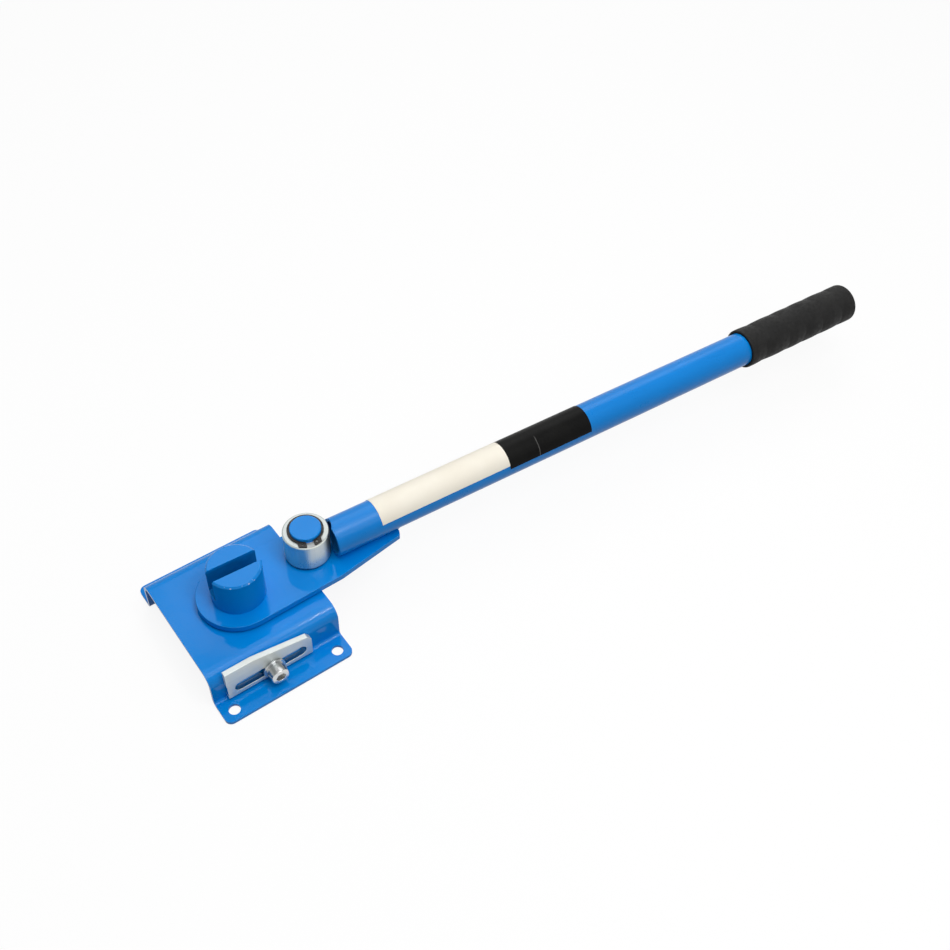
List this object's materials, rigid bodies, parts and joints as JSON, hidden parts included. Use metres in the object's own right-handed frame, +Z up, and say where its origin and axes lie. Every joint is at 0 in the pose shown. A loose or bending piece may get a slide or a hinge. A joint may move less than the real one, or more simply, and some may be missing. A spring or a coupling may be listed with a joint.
{
  "type": "rod bender",
  "caption": "Bench rod bender: a bent sheet base, a slotted bending post and a long lever that swings a steel roller round it, with an adjustable stop bar.",
  "frame": {"origin": "on the pivot axis of the lever, at the underside of the base's flanges, in the middle of the bench holes", "axes": "+Z up along the pivot, +X along the base towards the lever's grip, +Y away from the stop bar"},
  "size_m": [0.7576, 0.165, 0.0809],
  "materials": {
    "blue_enamel": "glossy blue stoved enamel",
    "zinc_plate": "bright zinc plate",
    "black_spring_steel": "black phosphated spring steel",
    "rubber_grip": "matte black rubber",
    "pale_label": "satin cream film",
    "dark_label": "satin black film"
  },
  "bodies": {
    "base": {"base_plate": "blue_enamel", "bending_post": "blue_enamel", "thrust_washer": "zinc_plate", "post_washer": "zinc_plate", "post_lock_washer": "zinc_plate", "post_nut": "zinc_plate", "stop_nut": "zinc_plate"},
    "lever": {"lever_plate": "blue_enamel", "lever_tube": "blue_enamel", "tube_welds": "blue_enamel", "roller_pin": "blue_enamel", "pin_weld": "blue_enamel", "circlip": "black_spring_steel", "grip": "rubber_grip", "tube_label": "pale_label", "tube_band": "dark_label"},
    "roller": {"roller": "zinc_plate"},
    "stop_bar": {"stop_bar": "zinc_plate"},
    "clamp_screw": {"stop_screw": "zinc_plate", "stop_washer": "zinc_plate"}
  },
  "joints": [
    {"name": "lever_swing", "type": "hinge", "parent": "base", "child": "lever", "pos_m": [0, 0, 0.041], "axis": [0, 0, 1], "range_deg": [-36, 201]},
    {"name": "roller_spin", "type": "hinge", "parent": "lever", "child": "roller", "pos_m": [0.06878, 0.00256, 0.06], "axis": [0, 0, 1], "continuous": true},
    {"name": "stop_slide", "type": "slide", "parent": "base", "child": "stop_bar", "axis": [1, 0, 0], "range_m": [-0.0255, 0.03]},
    {"name": "clamp_turn", "type": "hinge", "parent": "base", "child": "clamp_screw", "pos_m": [-0.006, -0.065, 0.016], "axis": [0, -1, 0], "continuous": true}
  ]
}
